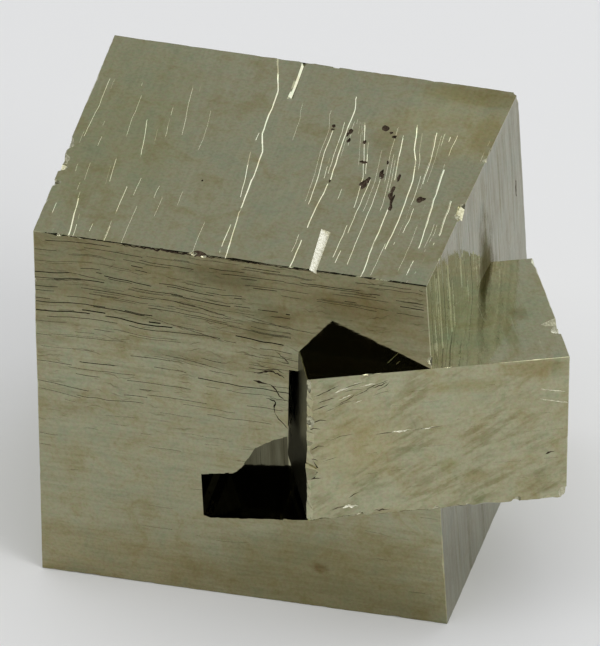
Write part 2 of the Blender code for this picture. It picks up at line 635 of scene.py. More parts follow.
class Nodes:
    """Short ways to add and join the nodes of one material or group."""

    def __init__(self, tree):
        self.tree = tree

    def feed(self, socket, value):
        if isinstance(value, bpy.types.NodeSocket):
            self.tree.links.new(value, socket)
        else:
            socket.default_value = value

    def feed_all(self, node, **inputs):
        """Feeds sockets by their names, with low lines for spaces."""
        for name, value in inputs.items():
            self.feed(node.inputs[name.replace("_", " ")], value)

    def add(self, kind, settings=None, **inputs):
        node = self.tree.nodes.new(kind)
        for name, value in (settings or {}).items():
            setattr(node, name, value)
        self.feed_all(node, **inputs)
        return node

    def group(self, tree, **inputs):
        return self.add("ShaderNodeGroup", {"node_tree": tree}, **inputs).outputs

    def operate(self, kind, operation, values):
        node = self.add(kind, {"operation": operation})
        for socket, value in zip(node.inputs, values):
            self.feed(socket, value)
        return node.outputs

    def maths(self, operation, *values):
        return self.operate("ShaderNodeMath", operation, values)["Value"]

    def vectors(self, operation, *values):
        return self.operate("ShaderNodeVectorMath", operation, values)["Vector"]

    def length(self, vector):
        return self.operate("ShaderNodeVectorMath", "LENGTH", (vector,))["Value"]

    def scaled(self, vector, scale):
        return self.vectors("MULTIPLY", vector, scale)

    def noise(self, vector, scale, detail=3.0, roughness=0.5, distortion=0.0):
        node = self.add(
            "ShaderNodeTexNoise", Vector=vector, Scale=scale, Detail=detail, Roughness=roughness,
            Distortion=distortion,
        )
        return node.outputs["Fac"]

    def bump(self, height, strength, distance):
        node = self.add("ShaderNodeBump", Height=height, Strength=strength, Distance=distance)
        return node.outputs["Normal"]

    def ramp(self, value, low, high, to_low=0.0, to_high=1.0):
        node = self.add("ShaderNodeMapRange", {"interpolation_type": "SMOOTHSTEP"})
        for socket, setting in zip(node.inputs, (value, low, high, to_low, to_high)):
            self.feed(socket, setting)
        return node.outputs["Result"]

    def tint(self, share, colour, shade):
        """A colour multiplied by a shade as far as the share says."""
        node = self.add("ShaderNodeMix", {"data_type": "RGBA", "blend_type": "MULTIPLY"})
        for socket, value in zip((0, 6, 7), (share, colour, (*shade, 1))):
            self.feed(node.inputs[socket], value)
        return node.outputs[2]


def shader_group(name, inputs, outputs, build):
    """A node group with named sockets, built once. Inputs are (name, kind, default)."""
    if name in bpy.data.node_groups:
        return bpy.data.node_groups[name]
    group = bpy.data.node_groups.new(name, "ShaderNodeTree")
    for label, kind, default in inputs:
        socket = group.interface.new_socket(label, in_out="INPUT", socket_type=kind)
        if default is not None:
            socket.default_value = default
    for label in outputs:
        group.interface.new_socket(label, in_out="OUTPUT", socket_type="NodeSocketFloat")
    nodes = Nodes(group)
    entry = group.nodes.new("NodeGroupInput")
    exit_node = group.nodes.new("NodeGroupOutput")
    for label, value in build(nodes, entry.outputs).items():
        nodes.feed(exit_node.inputs[label], value)
    return group


def tarnish_group():
    """Patches of brown and grey-green film a few millimetres wide, and a fine speckle of both."""

    def build(nodes, given):
        place = given["Vector"]
        patches = nodes.noise(place, given["Patch scale"], 7.0, 0.72, 0.5)
        red = nodes.noise(place, given["Speckle scale"], 2.0, 0.6)
        green = nodes.noise(nodes.scaled(place, (-1.0, -1.0, -1.0)), given["Speckle scale"], 2.0, 0.6)
        return {
            "Brown": nodes.ramp(patches, 0.46, 0.70),
            "Green": nodes.ramp(patches, 0.52, 0.32),
            "Red speckle": nodes.ramp(red, 0.42, 0.66),
            "Green speckle": nodes.ramp(green, 0.42, 0.66),
        }

    return shader_group(
        "tarnish",
        [
            ("Vector", "NodeSocketVector", None),
            ("Patch scale", "NodeSocketFloat", 300.0),
            ("Speckle scale", "NodeSocketFloat", 3000.0),
        ],
        ["Brown", "Green", "Red speckle", "Green speckle"],
        build,
    )


def striation_group():
    """Fine lines along the growth steps: noise squeezed across them, at three widths, and short
    swaying dashes."""

    def build(nodes, given):
        place = given["Vector"]
        fine = nodes.noise(nodes.scaled(place, (9.0, 0.35, 1.0)), 1.0, 2.0, 0.6)
        broad = nodes.noise(nodes.scaled(place, (2.4, 0.16, 1.0)), 1.0, 3.0, 0.6)
        bands = nodes.noise(nodes.scaled(place, (0.5, 0.07, 1.0)), 1.0, 4.0, 0.6, 0.3)
        sway = nodes.noise(nodes.scaled(place, (0.12, 0.3, 1.0)), 1.0, 3.0, 0.6)
        sway = nodes.add("ShaderNodeCombineXYZ", X=nodes.maths("MULTIPLY", sway, 2.4)).outputs[0]
        swayed = nodes.vectors("ADD", place, sway)
        dashes = nodes.noise(nodes.scaled(swayed, (4.2, 0.3, 1.0)), 1.0, 2.0, 0.5)
        return {
            "Lines": nodes.ramp(broad, 0.42, 0.62),
            "Bands": nodes.ramp(bands, 0.40, 0.64),
            "Dashes": nodes.ramp(dashes, 0.60, 0.72),
            "Height": nodes.maths("ADD", nodes.maths("MULTIPLY", fine, 0.35), broad),
        }

    return shader_group(
        "striation",
        [("Vector", "NodeSocketVector", None)],
        ["Lines", "Bands", "Dashes", "Height"],
        build,
    )


def stain_group():
    """An oval patch on a face, with an edge that noise makes ragged. The distance from its centre
    and the noise's grain are measured in its own half sizes."""

    def build(nodes, given):
        away = nodes.vectors("SUBTRACT", given["Vector"], given["Centre"])
        share = nodes.vectors("DIVIDE", away, given["Half size"])
        ragged = nodes.noise(nodes.vectors("ADD", share, given["Centre"]), 1.8, 5.0, 0.65)
        reach = nodes.maths("ADD", nodes.length(share), nodes.maths("MULTIPLY", ragged, 1.5))
        return {"Mask": nodes.ramp(reach, 2.0, 1.1)}

    return shader_group(
        "stain",
        [
            ("Vector", "NodeSocketVector", None),
            ("Centre", "NodeSocketVector", None),
            ("Half size", "NodeSocketVector", None),
        ],
        ["Mask"],
        build,
    )


# ---------------------------------------------------------------- materials


def new_material(name):
    material = bpy.data.materials.new(name)
    material.use_nodes = True
    return material, Nodes(material.node_tree), material.node_tree.nodes["Principled BSDF"]


def growth_face_pyrite(
    name, metal, roughness, lines=0.5, dashes=0.0, browned=None, slant=None, face=FRONT, stains=(),
    low_angle=(1.0, 1.0, 1.0), low_angle_stain=None, dulled=0.0,
):
    """A natural growth face: mirror-like metal under thin brown and grey-green films, with fine
    lines along its growth steps. A browned face darkens across its steps, from the first of two
    distances in millimetres to the second. Dashes add short dark lines to its upper part, a
    painted reflection of the dark side of the room in its step risers, and a slant adds a second
    set of lines at an angle. Stains are ovals of tarnish: centre, half size and tint, in
    millimetres across and along the steps of the face that has the material. The low-angle tint
    is for what the metal mirrors at low angles, where its own colour fades, and so is the
    low-angle stain, a plain oval. The first stain of a dulled face mirrors less, by that share."""
    material, nodes, shader = new_material(name)
    place = nodes.add("ShaderNodeTexCoord").outputs["Object"]
    growth = nodes.add("ShaderNodeUVMap", {"uv_map": GROWTH_MAP}).outputs["UV"]
    tarnish = nodes.group(tarnish_group(), Vector=place)
    striae = nodes.group(striation_group(), Vector=growth)
    local = nodes.vectors("SUBTRACT", growth, (map_start(face), map_start(face), 0))
    across_face = nodes.add("ShaderNodeSeparateXYZ", Vector=local).outputs["X"]
    films = [
        (tarnish["Brown"], (0.86, 0.81, 0.68)),
        (tarnish["Green"], (0.88, 0.95, 0.97)),
        (tarnish["Red speckle"], (0.96, 0.89, 0.92)),
        (tarnish["Green speckle"], (0.90, 0.96, 0.89)),
        (nodes.maths("MULTIPLY", striae["Lines"], lines), (0.82, 0.81, 0.77)),
        (nodes.maths("MULTIPLY", striae["Bands"], lines), (0.88, 0.87, 0.83)),
    ]
    # Painted reflection: dark dashes where step risers would mirror the dark side of the room, stronger
    # up the face.
    if dashes:
        share = nodes.maths("MULTIPLY", striae["Dashes"], dashes)
        share = nodes.maths("MULTIPLY", share, nodes.ramp(across_face, 12.0, 28.0, 0.1, 1.0))
        films.append((share, (0.42, 0.40, 0.36)))
    if slant:
        turned = nodes.add(
            "ShaderNodeVectorRotate", {"rotation_type": "Z_AXIS"}, Vector=growth, Angle=slant
        )
        turned = nodes.scaled(turned.outputs[0], (0.55, 1.6, 1.0))
        brushed = nodes.group(striation_group(), Vector=turned)
        share = nodes.maths("MULTIPLY", brushed["Lines"], brushed["Bands"])
        films.append((share, (0.74, 0.72, 0.64)))
        share = nodes.maths("MULTIPLY", brushed["Bands"], tarnish["Green"])
        films.append((share, (0.82, 0.80, 0.70)))
    if browned:
        reach = nodes.maths("ADD", across_face, nodes.maths("MULTIPLY", striae["Bands"], 4.0))
        films.append((nodes.ramp(reach, *browned), (0.72, 0.68, 0.60)))
    masks = [
        nodes.group(stain_group(), Vector=local, Centre=(*centre, 0), Half_size=(*half_size, 1))["Mask"]
        for centre, half_size, _ in stains
    ]
    films += [(mask, shade) for mask, (_, _, shade) in zip(masks, stains)]
    colour = (*metal, 1)
    for share, shade in films:
        colour = nodes.tint(share, colour, shade)
    low_angle = (*low_angle, 1)
    if low_angle_stain:
        centre, half_size, shade = low_angle_stain
        away = nodes.vectors("SUBTRACT", local, (*centre, 0))
        away = nodes.length(nodes.vectors("DIVIDE", away, (*half_size, 1)))
        low_angle = nodes.tint(nodes.ramp(away, 1.25, 0.35), low_angle, shade)
    nodes.feed_all(
        shader,
        Base_Color=colour,
        Specular_Tint=low_angle,
        Metallic=nodes.ramp(masks[0], 0.0, 1.0, 1.0, 1.0 - dulled) if dulled else 1.0,
        Specular_IOR_Level=0.0 if dulled else 0.5,
        Roughness=nodes.maths("ADD", nodes.maths("MULTIPLY", tarnish["Brown"], 0.05), roughness),
        Normal=nodes.bump(striae["Height"], 0.25, 0.012 * MM),
    )
    return material


def shade_painted_pyrite(name, metal, share, roughness=0.06, painted_shade_below=None):
    """Painted shade inside the hollow and the crevice, and on the face beside them: dark metal, a
    share of clean metal's brightness. With two heights, darker still below the first of them."""
    material, nodes, shader = new_material(name)
    place = nodes.add("ShaderNodeTexCoord").outputs["Object"]
    streaks = nodes.noise(nodes.scaled(place, (1600.0, 1600.0, 120.0)), 1.0, 3.0, 0.6)
    colour = (*(share * channel for channel in metal), 1)
    colour = nodes.tint(nodes.ramp(streaks, 0.35, 0.7), colour, (0.62, 0.6, 0.56))
    # Painted shade: darker below the first height, fading out by the second.
    if painted_shade_below:
        height = nodes.add("ShaderNodeSeparateXYZ", Vector=place).outputs["Z"]
        colour = nodes.tint(nodes.ramp(height, *painted_shade_below, 1.0, 0.0), colour, (0.3, 0.3, 0.3))
    nodes.feed_all(shader, Base_Color=colour, Metallic=1.0, Roughness=roughness)
    return material


def broken_pyrite(name, metal, crushed):
    """A broken spot: bright uneven metal, or a bruise of pale crushed grains, as far as the
    crushed share says."""
    material, nodes, shader = new_material(name)
    place = nodes.add("ShaderNodeTexCoord").outputs["Object"]
    grain = nodes.add("ShaderNodeTexVoronoi", {"feature": "F1"}, Vector=place, Scale=4200.0)
    grain = grain.outputs["Distance"]
    pale = (*(0.46 * crushed + channel for channel in metal), 1)
    nodes.feed_all(
        shader,
        Base_Color=nodes.tint(nodes.ramp(grain, 0.3, 0.8), pale, (0.74, 0.73, 0.69)),
        Metallic=1.0 - 0.75 * crushed,
        Roughness=0.26 + 0.1 * crushed,
        Normal=nodes.bump(grain, 0.3 + 0.4 * crushed, 0.05 * MM),
    )
    return material


def rusty_pit(name):
    """Dark brown rust in a pit or a crack."""
    material, nodes, shader = new_material(name)
    place = nodes.add("ShaderNodeTexCoord").outputs["Object"]
    grain = nodes.noise(place, 5000.0, 3.0, 0.6)
    rust = (0.085, 0.06, 0.038, 1)
    nodes.feed_all(
        shader,
        Base_Color=nodes.tint(nodes.ramp(grain, 0.35, 0.65), rust, (0.45, 0.4, 0.33)),
        Roughness=0.8,
        Specular_IOR_Level=0.2,
        Normal=nodes.bump(grain, 0.7, 0.05 * MM),
    )
    return material


# ---------------------------------------------------------------- the large crystal

# Paths that the top face's growth steps follow, in millimetres across from its left edge and
# back from its front edge, each with its riser's width and the stretches where it shows.
TOP_STEPS = (
    (((1.3, 25.5), (1.3, 20.5), (1.1, 14.7), (1.1, 2.7)), 0.03, ((15, 25.5), (2.5, 5.3))),
    (((2.8, 12.0), (3.0, 6.3), (3.6, 0.6)), 0.08, ((-0.5, 6.5),)),
    (((4.8, 20.0), (5.0, 13.2), (5.4, 8.9)), 0.028, ((8.5, 13.5), (0.5, 3.0))),
    (((6.4, 19.2), (7.3, 13.7), (7.2, 8.9), (7.2, 1.0)), 0.036, ((13, 20), (4, 9.5), (-0.5, 3))),
    (((9.0, 32.0), (9.3, 26.0), (10.3, 17.7), (10.2, 6.8)), 0.02, ((17, 26), (6.8, 10.3))),
    (((15.8, 32.0), (17.2, 26.7), (17.4, 19.8), (17.4, 16.6), (18.0, 12.5), (18.4, 9.0), (18.7, 0.5)),
     0.05, ((9, 20.3), (-0.5, 5.5))),
    (((16.1, 32.0), (17.5, 26.7), (17.7, 19.8), (18.5, 17.1), (18.7, 11.8), (18.9, 6.4), (19.4, 0.8)),
     0.11, ((-3, 36),)),
    (((18.6, 32.3), (18.8, 28.6), (18.8, 25.5), (19.2, 22.3), (19.6, 6.0), (20.0, 0.8)), 0.28,
     ((25.4, 36),)),
    (((23.6, 24.2), (24.2, 21.8), (24.3, 18.5), (24.8, 13.4), (25.0, 9.7)), 0.05, ((9.5, 22.5),)),
    (((25.0, 27.4), (25.4, 25.5), (25.5, 21.3), (26.0, 14.0), (25.8, 8.3), (25.9, 0.8)), 0.075,
     ((14, 28), (6, 15), (-0.5, 5))),
    (((26.7, 24.1), (28.3, 17.8), (29.0, 15.0), (29.5, 9.1), (29.6, 0.5)), 0.05, ((10, 24), (2, 8))),
    (((29.1, 19.7), (29.7, 14.9), (29.9, 6.8), (30.0, 1.7)), 0.05, ((6, 15.5), (1, 4))),
    (((30.8, 23.4), (31.6, 17.8), (32.6, 11.5), (32.7, 5.8), (33.0, 0.6)), 0.07, ((15, 23), (-1, 12))),
    (((31.7, 25.0), (32.5, 20.5), (33.1, 19.0), (33.7, 15.8), (34.1, 9.4), (34.0, 4.5)), 0.07,
     ((4, 25),)),
    (((33.8, 24.2), (34.5, 19.3), (34.7, 15.7), (35.0, 12.9)), 0.05, ((15, 24.5), (7, 12))),
    (((36.0, 18.9), (36.7, 10.8), (37.1, 6.0), (37.2, 2.4)), 0.075, ((5, 19), (1, 4))),
    (((38.7, 15.4), (38.1, 13.5), (38.5, 8.0), (38.1, 4.6), (37.9, 1.8)), 0.05, ((6, 16), (1.5, 5))),
)
# How deep a step drops for its riser's width.
TOP_STEEPNESS = 0.81

# Bands of random steps, and the share of the face's length that they reach back to.
TOP_BANDS = (
    ((0.5, 9, 0.8, 4, 0.02), 0.8),
    ((9, 17, 1.6, 5, 0.014), 0.8),
    ((20.2, 24.4, 1.2, 8, 0.016), 0.8),
    ((24.6, 39, 0.42, 10, 0.022), 0.75),
)
# Bands of random steps, each with its steepness and how uneven its risers are.
FRONT_BANDS = (
    ((31, 41, 0.2, 4.5, 0.036), 0.6, 0.42),
    ((22, 31, 0.36, 4.5, 0.034), 0.55, 0.45),
    ((15, 22, 1.0, 3, 0.022), 0.5, 0.4),
    ((1, 15, 2.5, 3, 0.02), 0.4, 0.4),
)
# The part of the front face without steps, up the face and from the left: it mirrors the small
# crystal's top.
FRONT_QUIET = ((30.5, 37.5), (25.5, 41))
# How far the front face's steps sag to the right, in its upper half.
FRONT_SAG = 0.9 * MM

# Rusty pits on the top face: across, back, and half their width and length, in millimetres.
TOP_PITS = (
    (24.1, 22.5, 0.18, 0.22), (24.15, 22.0, 0.14, 0.2), (25.85, 22.1, 0.2, 0.4), (25.7, 21.5, 0.16, 0.35),
    (26.1, 20.6, 0.16, 0.45), (29.0, 23.3, 0.3, 0.42), (29.7, 22.6, 0.16, 0.22), (30.2, 22.1, 0.22, 0.3),
    (29.4, 14.1, 0.26, 0.75), (29.55, 14.9, 0.3, 0.5), (29.1, 14.2, 0.22, 0.5), (30.5, 16.4, 0.17, 0.7),
    (30.7, 15.7, 0.15, 0.4), (32.3, 15.8, 0.2, 0.6), (32.25, 13.8, 0.2, 0.5), (32.3, 13.0, 0.24, 0.7),
    (32.6, 12.2, 0.2, 0.8), (32.75, 11.2, 0.17, 0.6), (35.2, 12.9, 0.28, 0.42), (35.45, 13.1, 0.24, 0.35),
    (28.4, 17.5, 0.26, 0.3), (28.1, 17.55, 0.2, 0.2), (27.6, 20.8, 0.14, 0.35), (30.6, 18.0, 0.12, 0.3),
    (26.0, 13.9, 0.1, 0.2), (14.1, 11.2, 0.1, 0.14), (16.9, 0.1, 0.6, 0.4),
)

# Dark cracks on the front face: width, depth and path, in millimetres up and from the left.
FRONT_CRACKS = (
    (0.26, 0.25, ((41.3, 8.5), (41.35, 12.0), (41.3, 16.0), (41.32, 19.0))),
    (0.14, 0.2, ((41.3, 19.0), (41.36, 24.0), (41.3, 30.0))),
    (0.34, 0.34, ((27.2, 21.8), (27.15, 22.5), (27.1, 23.2))),
    (0.15, 0.2, ((27.1, 23.0), (27.0, 23.6), (26.6, 23.9), (25.9, 24.2), (25.3, 24.9))),
    (0.22, 0.25, ((28.25, 21.9), (28.3, 22.6), (28.7, 23.5), (28.5, 24.3), (28.1, 24.9))),
    (0.13, 0.15, ((28.7, 22.3), (28.75, 23.2), (29.0, 24.2), (28.6, 24.9))),
    (0.16, 0.2, ((25.3, 23.0), (25.2, 23.6), (24.9, 24.0), (24.3, 23.7), (23.7, 23.8))),
    (0.09, 0.12, ((23.7, 23.8), (23.0, 24.1), (22.5, 24.6), (21.9, 25.0))),
    (0.1, 0.12, ((30.1, 24.2), (29.85, 25.0), (29.95, 25.5), (30.5, 24.9), (31.25, 24.1))),
    (0.06, 0.12, ((35.8, 0.2), (36.2, 3.4), (36.4, 5.2))),
    (0.07, 0.14, ((33.2, 11.2), (32.6, 14.0), (32.3, 17.1))),
    (0.06, 0.12, ((32.5, 14.6), (32.0, 17.0), (31.5, 19.0))),
    (0.07, 0.12, ((37.3, 1.0), (37.1, 4.4), (36.7, 8.0))),
    (0.08, 0.14, ((35.6, 13.0), (35.1, 17.0), (34.4, 20.2))),
    (0.07, 0.13, ((35.0, 21.0), (34.2, 25.0), (33.9, 29.0))),
    (0.07, 0.13, ((28.9, 12.5), (28.6, 15.5), (28.0, 19.0))),
)

# A dark crack on the right face, back from the front and up from the bottom.
RIGHT_CRACKS = ((0.3, 0.2, ((29.6, 30.4), (29.6, 32.4))),)

# Stains on the large crystal's faces: centre, half size and tint, across and along the steps.
CORNER_STAIN = ((36.0, 30.5), (6.0, 2.0), (0.82, 0.77, 0.62))
TOP_STAINS = (
    ((4.0, 17.0), (8.0, 17.0), (0.92, 0.93, 0.84)),
    ((35.0, 25.0), (7.0, 6.0), (1.14, 1.11, 1.02)),
    CORNER_STAIN,
    ((38.5, 24.5), (1.6, 4.0), (0.86, 0.80, 0.66)),
    ((29.5, 21.5), (1.6, 2.4), (0.88, 0.83, 0.74)),
)
FRONT_STAINS = (
    ((3.0, 29.0), (8.5, 15.0), (0.77, 0.73, 0.62)),
    ((2.0, 8.0), (5.0, 12.0), (0.95, 0.89, 0.80)),
    ((39.3, 19.5), (1.7, 4.5), (0.72, 0.69, 0.63)),
    ((37.6, 33.0), (2.6, 6.0), (0.74, 0.69, 0.60)),
    ((35.4, 24.5), (1.6, 2.2), (0.76, 0.71, 0.62)),
    ((33.0, 22.5), (1.6, 1.6), (0.80, 0.76, 0.68)),
    ((5.0, 27.5), (0.7, 0.9), (0.74, 0.64, 0.56)),
)
RIGHT_STAINS = (
    ((18.7, 27.0), (3.0, 9.0), (0.42, 0.40, 0.32)),
    ((9.0, 25.0), (9.0, 9.0), (0.93, 0.95, 0.84)),
)


def in_metres(path):
    return [(across * MM, along * MM) for across, along in path]


def wavy_guides(rng, size, spacing, wander):
    """Random paths at even places across a face, which wander by some distance."""
    width, length = size
    places = np.arange(spacing / 2, width, spacing)
    rows = np.linspace(0, length, 24)
    return [
        np.stack([place + smooth_curve(rng, rows, 6 * MM, wander), rows], axis=1) for place in places
    ]


def large_top(rng):
    """The top face: the steps that show best by their own paths, and fine ones between them."""
    paths = [in_metres(path) for path, _, _ in TOP_STEPS]
    face = Face(face_size(LARGE, *TOP), paths, 0.4 * MM, 0.028 * MM)
    for path, riser, dashes in TOP_STEPS:
        across = np.mean([point[0] for point in path]) * MM
        drop = riser * TOP_STEEPNESS * MM
        scaled = [(start * MM, stop * MM, drop) for start, stop in dashes]
        face.add_step(across, riser * MM, 0.5 * MM, scaled)
    for band, reach in TOP_BANDS:
        face.add_random_steps(rng, band, TOP_STEEPNESS, 0, reach)
    return face


def large_front(rng):
    """The front face: dense short steps that sag to the right in its upper half, few in its lower
    half, and none where it mirrors the small crystal's top."""
    size = face_size(LARGE, *FRONT)
    guides = wavy_guides(rng, size, 3 * MM, 0.22 * MM)
    for guide in guides:
        upper = window(guide[:, 0].mean(), 20 * MM, 41 * MM, 6 * MM)
        guide[:, 0] -= FRONT_SAG * upper * window(guide[:, 1], 12 * MM, 2 * size[1], 16 * MM)
    face = Face(size, guides, 0.4 * MM, 0.05 * MM)
    face.quiet = np.array(FRONT_QUIET) * MM
    for band, steepness, spread in FRONT_BANDS:
        face.add_random_steps(rng, band, steepness, 0, spread=spread)
    return face


def plain_face(rng, corners, which, row_spacing, steps, steepness, swell=Face.swell):
    """A face with even growth steps all over: their spacing, the dashes' length and the risers'
    width, in millimetres."""
    size = face_size(corners, *which)
    face = Face(size, wavy_guides(rng, size, 4 * MM, 0.12 * MM), row_spacing)
    face.swell = swell
    margin = 0.4
    face.add_random_steps(rng, (margin, size[0] / MM - margin, *steps), steepness)
    return face


def block_wear(corners, rng, width, nicks, nick_width):
    return {
        key: edge_wear(rng, width, length_along(corners, key[0]), nicks, nick_width)
        for key in product(range(3), (0, 1), (0, 1))
    }


# The hollow in the front face, in millimetres from the front face's lower left corner: the
# heights of its floor and ceiling from left to right.
HOLLOW_FLOOR = ((17.0, 9.7), (17.8, 9.5), (27.6, 10.8), (31.2, 12.0))
HOLLOW_CEILING = (
    (17.0, 14.8), (20.4, 15.5), (21.0, 16.2), (21.6, 17.1), (22.6, 19.0), (24.7, 20.4), (25.9, 20.9),
    (31.2, 20.9),
)
HOLLOW_DEPTH = 4.2 * MM
# The width of a slab, how far it overlaps the next one, and how uneven its floor and depth are.
HOLLOW_SLAB = 0.4 * MM
HOLLOW_OVERLAP = 0.01 * MM
HOLLOW_UNEVEN = 0.03 * MM
# The number, from the left and from 0, of the slab with lighter metal, a painted highlight.
HOLLOW_HIGHLIGHT_SLAB = 19


def cut_hollow(rng, material, painted_highlight, cutters):
    """A row of upright slabs side by side. Each one reaches from the hollow's floor to its
    ceiling at its own place, and a little deeper or shallower than the next. One slab has
    lighter metal, a painted highlight."""
    left = LARGE[0, 0, 0]
    start, stop = HOLLOW_FLOOR[0][0] * MM, HOLLOW_FLOOR[-1][0] * MM
    floor_line = np.array(HOLLOW_FLOOR) * MM
    ceiling_line = np.array(HOLLOW_CEILING) * MM
    for number, low_x in enumerate(np.arange(start, stop, HOLLOW_SLAB)):
        x = np.array([low_x, low_x + HOLLOW_SLAB + HOLLOW_OVERLAP])
        floor = np.interp(x, *floor_line.T) + rng.normal(0, HOLLOW_UNEVEN)
        ceiling = np.interp(x, *ceiling_line.T) + rng.normal(0, 0.04 * MM)
        depth = HOLLOW_DEPTH + rng.normal(0, HOLLOW_UNEVEN)
        corners = np.zeros((2, 2, 2, 3))
        corners[..., 0] = (left[0] + x)[:, None, None]
        corners[..., 1] = left[1] + np.array([-MM, depth])[None, :, None]
        corners[:, :, 0, 2] = floor[:, None]
        corners[:, :, 1, 2] = ceiling[:, None]
        # Painted highlight: one slab's lighter metal stands in for light caught on the hollow's back
        # wall.
        slab_material = painted_highlight if number == HOLLOW_HIGHLIGHT_SLAB else material
        cut_block(f"hollow_{number}", corners, slab_material, cutters)


# The crevice's upright slots, as fractions of the small crystal's block: each one's left side,
# right side and back, and the front and the heights that they share.
CREVICE_SLOTS = ((-0.032, -0.018, 0.62), (-0.018, -0.008, 0.5), (-0.008, 0.02, 0.7))
CREVICE_FRONT = 0.16
CREVICE_HEIGHTS = (0.24, 0.845)

# How much smaller the socket is than the small crystal's block.
SOCKET_SHRINK = 0.003


def cut_crevice(material, cutters):
    """Narrow upright slots beside the small crystal's left face, at uneven depths."""
    for number, (low, high, back) in enumerate(CREVICE_SLOTS):
        places = product((low, high), (CREVICE_FRONT, back), CREVICE_HEIGHTS)
        corners = [at(SMALL, *place) for place in places]
        cut_block(f"crevice_{number}", corners, material, cutters)


def cut_socket(material, cutters):
    """The small crystal's block, shrunk by a hair, so that the two crystals close the seam."""
    middle = SMALL.reshape(8, 3).mean(axis=0)
    shrunk = middle + (SMALL - middle) * (1 - SOCKET_SHRINK)
    cut_block("socket", shrunk, material, cutters)


# The bruised wedge on the top face: its left and right sides, each from the front to the back, as
# (across, back), and the depths of the two sides, in millimetres.
WEDGE_OUTLINE = (((27.9, -0.4), (27.25, 6.4)), ((28.6, -0.4), (28.25, 6.1)))
WEDGE_DEPTHS = (0.02, 0.36)


def cut_top_marks(rng, pit, broken, cutters):
    """Rusty pits, and the bruised wedge that runs back from the front edge."""
    for number, (across, back, half_width, half_length) in enumerate(TOP_PITS):
        centre = on_face(LARGE, *TOP, across * MM, back * MM)
        axes = np.diag([half_width * MM, half_length * MM, 0.2 * MM])
        cut_pebble(f"pit_{number}", centre, axes, rng, pit, cutters, 7)
    outline = np.array(WEDGE_OUTLINE) * MM
    surface = on_face(LARGE, *TOP, outline[..., 0], outline[..., 1])
    drop = np.array(WEDGE_DEPTHS)[:, None, None] * (0, 0, MM)
    corners = np.stack([surface - drop, surface + (0, 0, MM)], axis=2)
    cut_block("wedge", corners, broken, cutters)


# How far outside its edge a chip's pebble sits, as a share of its size.
CHIP_OUTSIDE = 0.55


def cut_edge_chips(name, corners, chips, rng, broken, cutters):
    """Chips on a block's edges, each from three fractions of the block and a size in millimetres.
    A chip's pebble sits outside the edge and only its near side cuts."""
    middle = at(corners, 0.5, 0.5, 0.5)
    sides = [at(corners, *np.roll((1, 0.5, 0.5), axis)) - middle for axis in range(3)]
    for number, (*place, size) in enumerate(chips):
        ends = [(share == 1) * 1.0 - (share == 0) for share in place]
        away = sum(end * side / np.linalg.norm(side) for end, side in zip(ends, sides))
        away = away / np.linalg.norm(away)
        turn = Matrix.Rotation(rng.uniform(0, 6), 3, Vector(rng.normal(size=3)))
        axes = np.array(turn) * size * MM * rng.uniform(0.8, 1.3, 3)[:, None]
        centre = at(corners, *place) + away * CHIP_OUTSIDE * size * MM
        cut_pebble(f"{name}_{number}", centre, axes, rng, broken, cutters, 12)


# Chips on the large crystal's edges: three fractions of its block, and a size in millimetres.
LARGE_CHIPS = (
    (0.0, 0.447, 1.0, 1.3), (0.0, 0.43, 1.0, 1.0), (0.0, 0.317, 1.0, 1.5), (0.0, 0.36, 1.0, 1.1),
    (0.0, 0.236, 1.0, 1.0), (1.0, 0.643, 1.0, 1.0), (1.0, 0.37, 1.0, 1.1), (1.0, 0.345, 1.0, 0.7),
    (0.43, 0.0, 1.0, 0.7), (0.41, 0.0, 1.0, 0.5), (0.068, 0.0, 1.0, 0.6), (0.0, 0.0, 0.83, 0.4),
    (0.0, 0.0, 0.86, 0.35), (1.0, 0.0, 0.79, 0.6), (0.55, 1.0, 1.0, 0.45),
    (1.0, 1.0, 1.0, 1.3),
)


def new_cutters(name):
    cutters = bpy.data.collections.new(name)
    bpy.context.scene.collection.children.link(cutters)
    return cutters


def new_piece(name, mesh, materials):
    """A crystal's object, with its face materials in the order of its material numbers."""
    for material in materials:
        mesh.materials.append(material)
    piece = bpy.data.objects.new(name, mesh)
    bpy.context.scene.collection.objects.link(piece)
    return piece


# The seed of the large crystal's random places.
LARGE_SEED = 11


